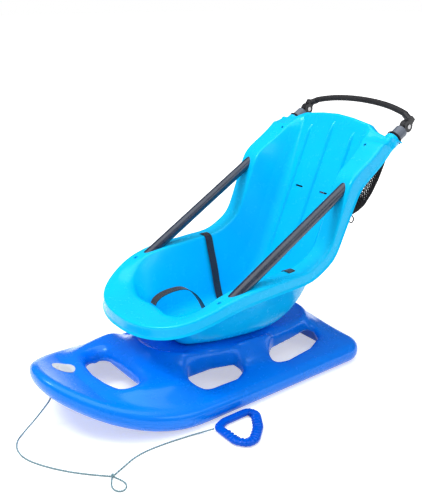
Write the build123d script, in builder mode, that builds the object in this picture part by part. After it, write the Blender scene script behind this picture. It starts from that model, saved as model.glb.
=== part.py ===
"""Baby sled: moulded hull, bucket seat, push tubes with a tilting bar, straps, net bag and tow rope.

Millimetres. +Z up, nose toward -Y, +X is the child's left. The origin is on the floor under the
middle of the sled.
"""
import os
from math import asin, atan2, cos, degrees, pi, radians, sin, sqrt, tan

from build123d import *

os.makedirs("parts", exist_ok=True)

# Hull
hull_half = 249.0          # half width over the rolled edge
hull_nose = -570.0         # tip of the nose
hull_rear = 362.0          # rear edge
nose_r = 160.0             # nose in plan
flank_r = 360.0            # between nose and straight side, in plan
corner_r = 60.0            # rear corners in plan
edge_t = 57.0              # height of the rolled edge
edge_w = 50.0              # width of the rolled edge
edge_round = 26.0
bow_start = -205.0         # where the bottom begins to rise
bow_r = 650.0              # rise of the bottom, side view
hull_wall = 5.0
rope_hole_r = 2.6          # blind hole for the tow rope, under the nose
rope_hole_y = -528.0
rope_hole_depth = 26.0

# Front opening in the deck
front_half = 148.0
front_y0 = -422.0
front_y1 = -307.0
front_bow = 34.0           # how far the front rim bows forward of its ends
front_corner = 42.0
front_depth = 56.0         # depth of the moulded wall round the opening
crown_z = 107.0            # deck level round the front opening
crown_front = -448.0
crown_rear = -220.0        # where the deck is down again ahead of the side openings

# Hump that carries the seat
hump_y0, hump_y1 = -300.0, 340.0
hump_half = 146.0          # at its foot
hump_end_r = 78.0
hump_foot_z = 40.0
hump_lean = 8.0            # how far its sides lean in on the way up
hump_flare = [(50.0, 30.0), (64.0, 14.0), (84.0, 4.0), (108.0, 0.0)]   # level, how far it flares out
hump_front_lean = 52.0     # and its two ends
hump_top_front = 148.0     # top of the hump, front and rear
hump_top_rear = 112.0
recess_rim = 9.0           # rim left round the seat recess
recess_depth = 8.0

# Side openings between hump and rolled edge, corner points on the left side
mid_hole = [(104, -202), (88, -160), (121, -18), (174, -36), (188, -80), (180, -204)]
rear_hole = [(130, 102), (108, 210), (88, 272), (128, 280), (172, 226), (190, 64)]
hole_corner = 16.0

# Clearances
fit = 0.35                 # round a tube in its seat
pin_fit = 0.05             # round a pin that turns


def hump_top(y):
    """Level of the hump's sloping top."""
    return hump_top_front + (hump_top_rear - hump_top_front) * (y - hump_y0) / (hump_y1 - hump_y0)


def pan(y):
    """Level of the seat pan where it stands in the recess of the hump."""
    return hump_top(y) - recess_depth + fit + seat_wall


# Seat shell, from lip to top of the back. Each station: floor point (y, z), lean of its plane,
# half width of the floor, rim height over the floor, half width inside and outside the rim, skirt.
# The walls stand steep up to the belly and lean out from there.
seat_wall = 4.0
seat_stations = [
    (-322, 246, 0, 36, 1, 52, 74, 34),
    (-306, 249, 0, 66, 2, 98, 124, 34),
    (-278, 251, 0, 84, 6, 134, 162, 34),
    (-244, 252, 0, 90, 18, 158, 192, 34),
    (-216, 246, 0, 88, 34, 168, 206, 34),
    (-186, 186, 0, 80, 108, 174, 218, 34),
    (-146, pan(-146), 0, 88, 309 - pan(-146), 178, 226, 34),
    (-86, pan(-86), 0, 110, 321 - pan(-86), 178, 231, 34),
    (40, pan(40), 0, 120, 326 - pan(40), 178, 231, 34),
    (130, pan(130), 12, 108, 211, 178, 231, 34),
    (194, 152, 20, 104, 190, 176, 231, 34),
    (236, 208, 23, 106, 158, 174, 230, 34),
    (265, 275, 30, 110, 118, 170, 229, 36),
    (294, 345, 34, 112, 116, 168, 228, 40),
    (323, 413, 41, 114, 112, 166, 228, 44),
    (352, 482, 46, 116, 112, 166, 228, 48),
    (374, 534, 52, 118, 82, 164, 228, 48),
    (396, 586, 62, 120, 50, 160, 228, 46),
    (418, 637, 67, 122, 22, 150, 226, 44),
    (443, 697, 67, 122, 4, 146, 222, 20),
]
belly_z = 214.0            # level of the belly of the side walls
belly_out = 26.0           # half width gained up to there
back_lean = 67.0           # lean of the back panel's plane
back_at = (383.0, 555.0)   # a point on the middle of the back panel
shoulder_end = 628.0       # end of the shoulder bosses, along the tubes
shoulder_start = 500.0
boss_wall = 7.6
socket_wall = 3.5
rib_x = (-86.0, 0.0, 86.0)
rib_w, rib_h = 7.0, 3.0
harness_x, harness_z = 51.0, 471.0
harness_slot = (30.0, 5.0)
rim_hole_r = 5.0
rim_hole = (200.0, -154.0, 304.0)
rim_hole_tilt = 20.5       # slope of the rim there
top_hole_r = 4.0
top_hole = (170.0, 380.0, 629.4)
top_hole_tilt = 38.3       # slope of the shoulder there

# Tubes, straight from a socket under the front of the rim to the hub behind the back
tube_r = 15.0
tube_wall = 1.5
tube_x = 200.0
tube_low = (-80.0, 322.0)  # where the tube goes down through the rim
tube_slope = 30.6
tube_tail = 60.0           # length below that point
hub_out = 60.0             # from the end of the shoulder bosses to the hub
hub_reach = shoulder_end + hub_out   # length from that point to the hub
ring_t = 5.5               # dark ring where the tube leaves the shoulder
ring_r = 19.5
collar_r = 18.5
collar_lip = 7.5
neck_r = 13.0

# Hub and push bar
hub_r = 17.0
hub_t = 10.0               # fixed disc
cheek_t = 5.0              # each cheek of the moving fork
cheek_gap = 0.35
pin_r = 4.0
pin_head_r = 6.5
pin_head_t = 2.0
bar_r = 6.5
grip_r = 9.0
bar_tilt = 52.0            # of the bar's plane above level, as shown
bar_bend = 30.0
bar_points = [(tube_x - 2.0, 23.0), (172.0, 38.0), (110.0, 63.0), (0.0, 78.0)]   # x, out from the axis

# Straps and net bag
strap_w, strap_t = 25.0, 2.0
crotch_front, crotch_top, crotch_rear = -224.0, (-148.0, 274.0), -46.0
waist_y = 90.0
bag_half = 168.0
bag_gap = 0.5
cord_r = 1.8
hook_at = shoulder_end + 5   # along the tubes, where the bag's loops go round the rings
screw_at = [(58.0, -90.0), (58.0, 30.0)]    # screws through the seat pan into the hump
screw_r, screw_head_r, screw_head_t = 3.0, 7.0, 3.0

# Tow rope, from its hole under the nose down to the floor, then round to the handle
rope_r = 2.0
floor_z = rope_r + 0.2     # middle of a rope that lies on the floor
knot_r = 5.0
knot_at = (278.0, -516.0, 5.2)
rope_front_points = [
    (0, rope_hole_y, 111.8), (0, rope_hole_y, 77), (-1, -552, 52), (-3, -582, 24), (-2, -612, floor_z),
    (20, -638, floor_z), (58, -653, floor_z), (102, -649, floor_z), (150, -625, floor_z),
    (197, -593, floor_z), (240, -555, floor_z),
]
rope_loop_points = [(302, -536, floor_z), (326, -536, floor_z), (336, -520, floor_z),
                    (322, -504, floor_z), (300, -506, floor_z)]
rope_rear_points = [(262, -478, floor_z), (247, -440, floor_z), (243, -398, floor_z),
                    (246, -354, floor_z), (252, -310, floor_z), (259, -267, floor_z)]

# Tow handle, a rounded triangle that lies on the floor beside the hull
handle_t = 16.0
handle_z = 9.0             # middle level of the handle
handle_w = 15.0
handle_corners = [(270, -228), (255, -190), (255, -104), (290, -88), (345, -124), (384, -170), (384, -204),
                  (352, -228)]
handle_corner = 17.0
handle_tie = (276.0, -227.5, handle_z)
handle_round = 6.0
grip_from, grip_to = (302.0, -106.0), (366.0, -168.0)
grip_rib_count, grip_rib_t, grip_rib_h = 9, 3.0, 0.7

tube_dir = (cos(radians(tube_slope)), sin(radians(tube_slope)))


def along_tube(s):
    """Point on the tube's middle line, in side view, s from where it enters the rim."""
    return tube_low[0] + s * tube_dir[0], tube_low[1] + s * tube_dir[1]


hub_y, hub_z = along_tube(hub_reach)


def plan_outline(inset=0.0):
    """Half outline of the hull in plan, from nose to rear middle, moved in by inset."""
    nose_c = hull_nose + nose_r
    flank_c = (hull_half - flank_r, nose_c + sqrt((flank_r - nose_r) ** 2 - (hull_half - flank_r) ** 2))
    turn = degrees(atan2(nose_c - flank_c[1], 0 - flank_c[0]))
    half, rear, corner = hull_half - inset, hull_rear - inset, corner_r - inset
    CenterArc((0, nose_c), nose_r - inset, -90, turn + 90)
    CenterArc(flank_c, flank_r - inset, turn, -turn)
    Line((half, flank_c[1]), (half, rear - corner))
    CenterArc((half - corner, rear - corner), corner, 0, 90)
    Line((half - corner, rear), (0, rear))


def bow_z(y):
    """Level of the hull's bottom where the nose rises."""
    return bow_r - sqrt(bow_r ** 2 - (bow_start - y) ** 2)


def bow_band(low, high):
    """Side view band between two levels that follow the rise of the nose."""
    y_end = hull_rear + 40
    reach = bow_start - hull_nose + 20
    swing_low, swing_high = (degrees(asin(reach / (bow_r - level))) for level in (low, high))
    Line((y_end, low), (bow_start, low))
    bottom = CenterArc((bow_start, bow_r), bow_r - low, -90, -swing_low)
    top = CenterArc((bow_start, bow_r), bow_r - high, -90 - swing_high, swing_high)
    Line(bottom @ 1, top @ 0)
    Line((bow_start, high), (y_end, high))
    Line((y_end, high), (y_end, low))


def band_within(low, high, inset):
    """Solid between two side view levels inside the plan outline."""
    with BuildPart() as solid:
        with BuildSketch(Plane.YZ):
            with BuildLine():
                bow_band(low, high)
            make_face()
        extrude(amount=hull_half + 20, both=True)
        with BuildSketch(Plane.XY.offset(-80)):
            with BuildLine():
                plan_outline(inset)
                mirror(about=Plane.YZ)
            make_face()
        extrude(amount=500, mode=Mode.INTERSECT)
    return solid.part


def oval(y0, y1, half, end_r):
    """Closed outline of four tangent arcs, longer than wide."""
    mid, reach = (y0 + y1) / 2, (y1 - y0) / 2 - end_r
    side_r = (half ** 2 + reach ** 2 - end_r ** 2) / (2 * (half - end_r))
    turn = degrees(atan2(reach, side_r - half))
    for sign in (1, -1):
        CenterArc((sign * (half - side_r), mid), side_r, -turn if sign > 0 else 180 - turn, 2 * turn)
        CenterArc((0, mid + sign * reach), end_r, turn if sign > 0 else 180 + turn, 180 - 2 * turn)


def hump_solid(inset, levels, top):
    """The hump as a solid up to a level, its sides moved in by inset and flared out at the foot."""
    with BuildPart() as solid:
        for level, flare in [*levels, (top, 0.0)]:
            rise = (level - hump_foot_z) / (hump_top_front - hump_foot_z)
            lean, end = hump_lean * rise + inset - flare, hump_front_lean * rise + inset - 0.6 * flare
            with BuildSketch(Plane.XY.offset(level)):
                with BuildLine():
                    oval(hump_y0 + end, hump_y1 - end, hump_half - lean, hump_end_r - lean)
                make_face()
        loft(ruled=True)
    return solid.part


def under_hump_top(drop):
    """Everything below the sloping top of the hump, lowered by drop."""
    with BuildPart() as solid:
        with BuildSketch(Plane.YZ):
            Polygon((-400, -50), (450, -50), (450, hump_top(450) - drop), (-400, hump_top(-400) - drop),
                    align=None)
        extrude(amount=260, both=True)
    return solid.part


def front_outline(grow=0.0):
    """Outline of the front opening in plan, as a sketch."""
    with BuildSketch() as outline:
        with BuildLine():
            right = (front_half + grow, front_y0 + front_bow)
            left = (-front_half - grow, front_y0 + front_bow)
            ThreePointArc(left, (0, front_y0 - grow), right)
            Line(right, (front_half + grow, front_y1 + grow))
            Line((front_half + grow, front_y1 + grow), (-front_half - grow, front_y1 + grow))
            Line((-front_half - grow, front_y1 + grow), left)
        make_face()
        fillet(vertices(), front_corner + grow)
    return outline.sketch


def crown_solid(drop):
    """Raised deck round the front opening, its skin lowered by drop."""
    with BuildPart() as solid:
        with BuildSketch(Plane.XY.offset(edge_t - 10 - drop)):
            with BuildLine():
                plan_outline(edge_w - 14 + drop)
                mirror(about=Plane.YZ)
            make_face()
        extrude(amount=90, taper=38)
        with BuildSketch(Plane.YZ):
            Polygon((crown_front, 0), (crown_front, crown_z - drop), (front_y1 - drop, crown_z - drop),
                    (crown_rear - 36 - drop, edge_t + 10 - drop), (crown_rear - drop, deck_z - 2 - drop),
                    (crown_rear - drop, 0), align=None)
        extrude(amount=300, both=True, mode=Mode.INTERSECT)
    return solid.part


deck_z = edge_t
screw_places = [(sign * x, y, 100) for x, y in screw_at for sign in (-1, 1)]
with BuildPart() as hull:
    add(band_within(0, edge_t, 0))
    fillet([e for e in edges() if e.length > 30], edge_round)
    add(crown_solid(0))
    add(hump_solid(0, hump_flare, hump_top_front + 20).intersect(under_hump_top(0)))
    add(band_within(-60, deck_z - hull_wall, edge_w + 4), mode=Mode.SUBTRACT)
    add(crown_solid(hull_wall), mode=Mode.SUBTRACT)
    add(hump_solid(hull_wall, [(0.0, 0.0)], hump_top_front + 20)
        .intersect(under_hump_top(recess_depth + hull_wall)),
        mode=Mode.SUBTRACT)
    add(hump_solid(recess_rim, [(hump_foot_z, 0.0)], hump_top_front + 40) - under_hump_top(recess_depth),
        mode=Mode.SUBTRACT)
    with BuildSketch(Plane.XY.offset(crown_z - front_depth)):
        add(front_outline(hull_wall))
    extrude(amount=front_depth - 1)
    with BuildSketch(Plane.XY.offset(-20)):
        add(front_outline())
    extrude(amount=240, mode=Mode.SUBTRACT)
    with BuildSketch(Plane.XY.offset(-20)):
        for corners in (mid_hole, rear_hole):
            Polygon(*corners, align=None)
        fillet(vertices(), hole_corner)
        mirror(about=Plane.YZ)
    extrude(amount=edge_t + 40, mode=Mode.SUBTRACT)
    with Locations((0, rope_hole_y, bow_z(rope_hole_y) + rope_hole_depth)):
        Cylinder(rope_hole_r, 120, align=(Align.CENTER, Align.CENTER, Align.MAX), mode=Mode.SUBTRACT)
    with Locations(*screw_places):
        Cylinder(screw_r + fit, 300, mode=Mode.SUBTRACT)
hull.part.label = "hull"
export_step(hull.part, "parts/hull.step")


def station_plane(y, z, lean):
    a = radians(lean)
    return Plane(origin=(0, y, z), x_dir=(1, 0, 0), z_dir=(0, -cos(a), -sin(a)))


def tube_plane(x, s):
    """Plane across a tube at distance s along it."""
    y, z = along_tube(s)
    return Plane(origin=(x, y, z), x_dir=(1, 0, 0), z_dir=(0, *tube_dir))


def rim_point(station):
    y, z, lean, _, rim = station[:5]
    return y - rim * sin(radians(lean)), z + rim * cos(radians(lean))


def belly(station):
    """Point of a station's wall where it starts to lean out."""
    y, z, lean, floor, rim, inside = station[:6]
    if lean < 15 and z < 200 and y > -150:
        return floor + belly_out, (belly_z - z) / cos(radians(lean))
    return floor + 0.45 * (inside - floor), 0.4 * rim


def back_plane(x, z):
    """Plane on the front of the back panel: X across, Y up the back, Z out of it."""
    lean = radians(back_lean)
    y = back_at[0] + (z - back_at[1]) / tan(lean)
    return Plane(origin=(x, y, z), x_dir=(1, 0, 0), z_dir=(0, -sin(lean), cos(lean)))


with BuildPart() as above_rim:
    with BuildSketch(Plane.YZ):
        Polygon(*[rim_point(station) for station in seat_stations], (600, 900), (-400, 900), align=None)
    extrude(amount=300, both=True)

with BuildPart() as seat:
    for station in seat_stations:
        y, z, lean, floor, rim, inside, outside, skirt = station
        t = seat_wall
        belly_x, belly_h = belly(station)
        with BuildSketch(station_plane(y, z, lean)):
            with BuildLine():
                Polyline((0, 0), (floor, 0), (belly_x, belly_h), (inside, rim), (outside, rim),
                         (outside, rim - skirt), (outside - t, rim - skirt), (outside - t, rim - t),
                         (inside + t, rim - t), (belly_x + t, belly_h - t / 3), (floor + t / 2, -t), (0, -t))
                mirror(about=Plane.YZ)
            make_face()
    loft(ruled=True)
    # Skirt across the front lip
    lip_y, lip_z, _, _, lip_rim, _, lip_half, lip_skirt = seat_stations[0]
    with Locations((0, lip_y, lip_z + lip_rim - lip_skirt / 2)):
        Box(2 * lip_half, 2 * seat_wall, lip_skirt)
    # Top of the back, trimmed to an arch that drops to the shoulders
    with BuildSketch(back_plane(0, 637)):
        with BuildLine():
            arch = ThreePointArc((128, 46), (0, 60), (-128, 46))
            Polyline(arch @ 1, (-160, 28), (-260, 20), (-260, 200),
                     (260, 200), (260, 20), (160, 28), arch @ 0)
        make_face()
    extrude(amount=90, both=True, mode=Mode.SUBTRACT)
    with BuildSketch(back_plane(0, 490)):
        with Locations(*[(x, 0) for x in rib_x]):
            SlotOverall(350, rib_w, rotation=90)
    extrude(amount=rib_h)
    # Sockets under the front of the rim and bosses in the shoulders
    with BuildPart(mode=Mode.PRIVATE) as sockets:
        for x in (-tube_x, tube_x):
            with BuildSketch(tube_plane(x, -tube_tail)):
                Circle(tube_r + fit + socket_wall)
            extrude(amount=tube_tail)
        add(above_rim.part, mode=Mode.SUBTRACT)
    add(sockets.part)
    for x in (-tube_x, tube_x):
        with BuildSketch(tube_plane(x, shoulder_start)):
            Circle(tube_r + fit + boss_wall)
        extrude(amount=shoulder_end - shoulder_start)
    for x in (-tube_x, tube_x):
        with BuildSketch(tube_plane(x, -tube_tail - 1)):
            Circle(tube_r + fit)
        extrude(amount=tube_tail + hub_reach, mode=Mode.SUBTRACT)
    # Harness slots, crotch strap slots, rim holes and top holes
    with BuildSketch(back_plane(0, harness_z)):
        with Locations((-harness_x, 0), (harness_x, 0)):
            Rectangle(*harness_slot)
    extrude(amount=20, both=True, mode=Mode.SUBTRACT)
    for y, z in ((crotch_front, 247), (crotch_rear, pan(crotch_rear))):
        with Locations((0, y, z)):
            Box(strap_w + 6, strap_t + 4, 20, mode=Mode.SUBTRACT)
    for (x, y, z), tilt, r in ((rim_hole, rim_hole_tilt, rim_hole_r), (top_hole, top_hole_tilt, top_hole_r)):
        with Locations(Pos(-x, y, z) * Rot(tilt, 0, 0), Pos(x, y, z) * Rot(tilt, 0, 0)):
            Cylinder(r, 24, mode=Mode.SUBTRACT)
    with Locations(*screw_places):
        Cylinder(screw_r + fit, 300, mode=Mode.SUBTRACT)
seat.part.label = "seat_shell"
export_step(seat.part, "parts/seat_shell.step")


for i, (x, y, _) in enumerate(screw_places):
    head_z = pan(y - screw_head_r) + fit
    with BuildPart() as screw:
        with Locations((x, y, head_z)):
            Cylinder(screw_head_r, screw_head_t, align=(Align.CENTER, Align.CENTER, Align.MIN))
            Cylinder(screw_r, 26, align=(Align.CENTER, Align.CENTER, Align.MAX))
        fillet(edges().sort_by(Axis.Z)[-1], 1.5)
    screw.part.label = f"seat_screw_{i + 1}"
    export_step(screw.part, f"parts/seat_screw_{i + 1}.step")


def side_name(x):
    return "left" if x > 0 else "right"


for x in (-tube_x, tube_x):
    side = side_name(x)

    with BuildPart() as tube:
        with BuildSketch(tube_plane(x, -tube_tail)):
            Circle(tube_r)
            Circle(tube_r - tube_wall, mode=Mode.SUBTRACT)
        extrude(amount=tube_tail + hub_reach - hub_r - collar_lip - 4)
    tube.part.label = f"push_tube_{side}"
    export_step(tube.part, f"parts/push_tube_{side}.step")

    with BuildPart() as ring:
        with BuildSketch(tube_plane(x, shoulder_end + fit)):
            Circle(ring_r)
            Circle(tube_r + fit, mode=Mode.SUBTRACT)
        extrude(amount=ring_t)
    ring.part.label = f"tube_ring_{side}"
    export_step(ring.part, f"parts/tube_ring_{side}.step")

    collar_start = shoulder_end + ring_t + 2 * fit
    collar_end = hub_reach - hub_r - 3
    with BuildPart() as collar:
        with BuildSketch(tube_plane(x, collar_start)):
            Circle(collar_r)
        extrude(amount=collar_end - collar_start)
        chamfer(edges().group_by(Axis.Y)[-1], 1.5)
        with BuildSketch(tube_plane(x, collar_start)):
            Circle(tube_r + fit)
        extrude(amount=collar_end - collar_start - collar_lip, mode=Mode.SUBTRACT)
        with BuildSketch(tube_plane(x, collar_start)):
            Circle(neck_r + fit)
        extrude(amount=collar_end - collar_start, mode=Mode.SUBTRACT)
    collar.part.label = f"tube_collar_{side}"
    export_step(collar.part, f"parts/tube_collar_{side}.step")

    with BuildPart() as hub:
        with BuildSketch(Plane.YZ.offset(x - hub_t / 2)):
            with Locations((hub_y, hub_z)):
                Circle(hub_r)
        extrude(amount=hub_t)
        with BuildSketch(tube_plane(x, collar_end - collar_lip)):
            Circle(neck_r)
        extrude(amount=collar_lip + 3.5)
        with BuildSketch(tube_plane(x, collar_end - 1)):
            Rectangle(hub_t, 2 * neck_r - 3)
        extrude(amount=hub_r)
        with Locations(Pos(x, hub_y, hub_z) * Rot(0, 90, 0)):
            Cylinder(pin_r + pin_fit, 3 * hub_t, mode=Mode.SUBTRACT)
    hub.part.label = f"hub_fixed_{side}"
    export_step(hub.part, f"parts/hub_fixed_{side}.step")


# Moving half: the bar's plane passes through the hub axis, Y out from the axis
tilt = radians(bar_tilt)
bar_plane = Plane(origin=(0, hub_y, hub_z), x_dir=(1, 0, 0), z_dir=(0, -sin(tilt), cos(tilt)))
mirrored_points = [(-x, r) for x, r in reversed(bar_points[:-1])]

for x in (-tube_x, tube_x):
    side = side_name(x)
    sign = 1 if x > 0 else -1
    outer_half = hub_t / 2 + cheek_gap + cheek_t
    run = [bar_plane.from_local_coords(Vector(sign * px, pr, 0)) for px, pr in bar_points[:2]]
    sleeve = Plane(origin=run[0], z_dir=run[1] - run[0])
    with BuildPart() as fork:
        with BuildSketch(Plane.YZ.offset(x - outer_half)):
            with Locations((hub_y, hub_z)):
                Circle(hub_r - 0.5)
        extrude(amount=2 * outer_half)
        with Locations(bar_plane * Pos(x, hub_r + 4, 0)):
            Box(2 * outer_half, 19, 18)
        with Locations(sleeve * Pos(0, 0, 9)):
            Cylinder(bar_r + fit + 3, 30)
        with BuildSketch(Plane.YZ.offset(x - hub_t / 2 - cheek_gap)):
            with Locations((hub_y, hub_z)):
                Circle(hub_r + 1.2)
        extrude(amount=hub_t + 2 * cheek_gap, mode=Mode.SUBTRACT)
        with Locations(sleeve * Pos(0, 0, 24)):
            Cylinder(bar_r + fit, 50, mode=Mode.SUBTRACT)
        with Locations(Pos(x, hub_y, hub_z) * Rot(0, 90, 0)):
            Cylinder(pin_r, 60, mode=Mode.SUBTRACT)
    fork.part.label = f"hub_fork_{side}"
    export_step(fork.part, f"parts/hub_fork_{side}.step")

    with BuildPart() as pin:
        with Locations(Pos(x, hub_y, hub_z) * Rot(0, 90, 0)):
            Cylinder(pin_r, 2 * outer_half)
            for sign in (-1, 1):
                with Locations((0, 0, sign * (outer_half + pin_head_t / 2))):
                    Cylinder(pin_head_r, pin_head_t)
    pin.part.label = f"hub_pin_{side}"
    export_step(pin.part, f"parts/hub_pin_{side}.step")

with BuildPart() as bar:
    with BuildLine(bar_plane):
        path = FilletPolyline(*bar_points, *mirrored_points, radius=bar_bend)
    with BuildSketch(Plane(origin=path @ 0, z_dir=path % 0)):
        Circle(bar_r)
    sweep()
bar.part.label = "push_bar"
export_step(bar.part, "parts/push_bar.step")

grip_start = (162.0, 38.0 + 10.0 * 25 / 62)
with BuildPart() as grip:
    with BuildLine(bar_plane):
        path = FilletPolyline(grip_start, *bar_points[2:], *mirrored_points[:1],
                              (-grip_start[0], grip_start[1]), radius=bar_bend)
    with BuildSketch(Plane(origin=path @ 0, z_dir=path % 0)):
        Circle(grip_r)
        Circle(bar_r + fit / 2, mode=Mode.SUBTRACT)
    sweep()
grip.part.label = "bar_grip"
export_step(grip.part, "parts/bar_grip.step")


with BuildPart() as crotch_strap:
    with BuildSketch(Plane.YZ):
        with BuildLine():
            arc = ThreePointArc((crotch_front, 250), crotch_top, (crotch_rear - 22, 188))
            TangentArc(arc @ 1, (crotch_rear, pan(crotch_rear) - 2), tangent=arc % 1)
            Line((crotch_front, 250), (crotch_front, 240))
        trace(line_width=strap_t)
    extrude(amount=strap_w / 2, both=True)
crotch_strap.part.label = "crotch_strap"
export_step(crotch_strap.part, "parts/crotch_strap.step")

waist_floor = pan(waist_y - strap_w / 2) + strap_t / 2 + fit
for sign in (-1, 1):
    side = side_name(sign)
    with BuildPart() as waist:
        with BuildSketch(Plane.XZ.offset(-waist_y)):
            with BuildLine():
                FilletPolyline((sign * 232.7, 298), (sign * 232.7, 329.2), (sign * 172, 329.2),
                               (sign * 127, 222), (sign * 93, waist_floor), (sign * 27, waist_floor),
                               radius=3)
            trace(line_width=strap_t)
        extrude(amount=strap_w / 2, both=True)
    waist.part.label = f"waist_strap_{side}"
    export_step(waist.part, f"parts/waist_strap_{side}.step")

buckle_size = (62.0, 34.0, 11.0)
buckle_z = pan(waist_y - buckle_size[1] / 2) + fit
with BuildPart() as buckle:
    with Locations((0, waist_y, buckle_z + buckle_size[2] / 2)):
        Box(*buckle_size)
    fillet(edges().filter_by(Axis.Z), 8)
    fillet(faces().sort_by(Axis.Z)[-1].edges(), 2.5)
    for sign in (-1, 1):
        with Locations((sign * (buckle_size[0] / 2 - 1), waist_y, waist_floor)):
            Box(12, strap_w + 1, strap_t + 0.8, mode=Mode.SUBTRACT)
buckle.part.label = "harness_buckle"
export_step(buckle.part, "parts/harness_buckle.step")


def behind_back(z, gap):
    """Y of a point behind the back panel."""
    return back_at[0] + (z - back_at[1]) / tan(radians(back_lean)) + seat_wall / sin(radians(back_lean)) + gap


with BuildPart() as net_bag:
    with BuildSketch(Plane.YZ):
        Polygon((behind_back(640, bag_gap), 640), (behind_back(640, 34), 640), (behind_back(590, 66), 590),
                (behind_back(520, 74), 520), (behind_back(455, 50), 455), (behind_back(430, bag_gap), 430),
                align=None)
        fillet(vertices(), 10)
    extrude(amount=bag_half, both=True)
net_bag.part.label = "net_bag"
export_step(net_bag.part, "parts/net_bag.step")

# Cord loops that hang the bag on the rings above the shoulders
for x in (-tube_x, tube_x):
    side = side_name(x)
    with BuildPart() as hook:
        with Locations(tube_plane(x, hook_at)):
            Torus(ring_r + cord_r + fit, cord_r)
    hook.part.label = f"bag_loop_{side}"
    export_step(hook.part, f"parts/bag_loop_{side}.step")


def cord(name, points):
    """Cord of straight runs and tangent arcs. The shorter run sets the arc at each corner."""
    points = [Vector(*p) for p in points]
    radii = []
    for before, at, after in zip(points, points[1:], points[2:]):
        half_turn = radians((at - before).get_angle(after - at)) / 2
        run = min((at - before).length, (after - at).length)
        radii.append(0.45 * run / tan(half_turn))
    with BuildPart() as solid:
        with BuildLine():
            route = FilletPolyline(*points, radius=radii)
        with BuildSketch(Plane(origin=route @ 0, z_dir=route % 0)):
            Circle(rope_r)
        sweep()
    solid.part.label = name
    print(name, "length", round(route.length, 1), "least bend", round(min(radii), 1),
          "volume ratio", round(solid.part.volume / (pi * rope_r ** 2 * route.length), 4))
    export_step(solid.part, f"parts/{name}.step")


def off_knot(point):
    """Where a cord toward point leaves the knot."""
    toward = Vector(point[0] - knot_at[0], point[1] - knot_at[1], 0).normalized()
    at = Vector(knot_at[0], knot_at[1], floor_z) + toward * (knot_r + fit)
    return at.X, at.Y, at.Z


cord("tow_rope_front", rope_front_points + [off_knot(rope_front_points[-1])])
cord("tow_rope_loop", [off_knot(rope_loop_points[0]), *rope_loop_points, off_knot(rope_loop_points[-1])])
cord("tow_rope_rear", [off_knot(rope_rear_points[0]), *rope_rear_points, handle_tie])

with BuildPart() as knot:
    with Locations(knot_at):
        Sphere(knot_r)
knot.part.label = "tow_knot"
export_step(knot.part, "parts/tow_knot.step")

with BuildPart() as handle:
    with BuildSketch(Plane.XY.offset(handle_z - handle_t / 2)):
        Polygon(*handle_corners, align=None)
        fillet(vertices(), handle_corner)
        offset(amount=-handle_w, kind=Kind.INTERSECTION, mode=Mode.SUBTRACT)
    extrude(amount=handle_t)
    fillet(edges().filter_by(lambda e: abs(e.tangent_at(0.5).Z) < 0.1), handle_round)
    start, end = Vector(*grip_from, handle_z), Vector(*grip_to, handle_z)
    for i in range(grip_rib_count):
        at = start + (end - start) * i / (grip_rib_count - 1)
        with BuildSketch(Plane(origin=at, z_dir=end - start)):
            Circle(handle_t / 2 + grip_rib_h)
        extrude(amount=grip_rib_t / 2, both=True)
handle.part.label = "tow_handle"
export_step(handle.part, "parts/tow_handle.step")
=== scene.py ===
import math

import bmesh
import bpy
import numpy as np
from mathutils import Matrix, Vector
from mathutils.bvhtree import BVHTree


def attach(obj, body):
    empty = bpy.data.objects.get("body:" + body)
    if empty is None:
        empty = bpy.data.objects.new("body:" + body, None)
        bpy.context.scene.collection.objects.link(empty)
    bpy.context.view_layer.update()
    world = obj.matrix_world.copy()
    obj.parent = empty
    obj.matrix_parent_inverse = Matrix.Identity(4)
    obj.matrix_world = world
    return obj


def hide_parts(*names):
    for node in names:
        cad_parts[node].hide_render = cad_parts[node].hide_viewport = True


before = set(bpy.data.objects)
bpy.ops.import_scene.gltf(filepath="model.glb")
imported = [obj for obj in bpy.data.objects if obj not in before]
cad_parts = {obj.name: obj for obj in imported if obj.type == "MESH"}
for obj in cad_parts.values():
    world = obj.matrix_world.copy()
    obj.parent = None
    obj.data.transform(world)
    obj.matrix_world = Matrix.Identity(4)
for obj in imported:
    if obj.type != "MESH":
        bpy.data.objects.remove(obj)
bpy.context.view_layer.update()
scene = bpy.context.scene
MM = 0.001

# Camera
cam = bpy.data.cameras.new("camera")
cam.lens, cam.sensor_width, cam.clip_end = 50.4, 36.0, 60.0
cam_ob = bpy.data.objects.new("camera", cam)
cam_ob.location = (1.4563, -1.1239, 1.0310)
cam_ob.rotation_euler = (math.radians(90 - 20.262), 0.0, math.radians(53.084))
scene.collection.objects.link(cam_ob)
scene.camera = cam_ob


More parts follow.
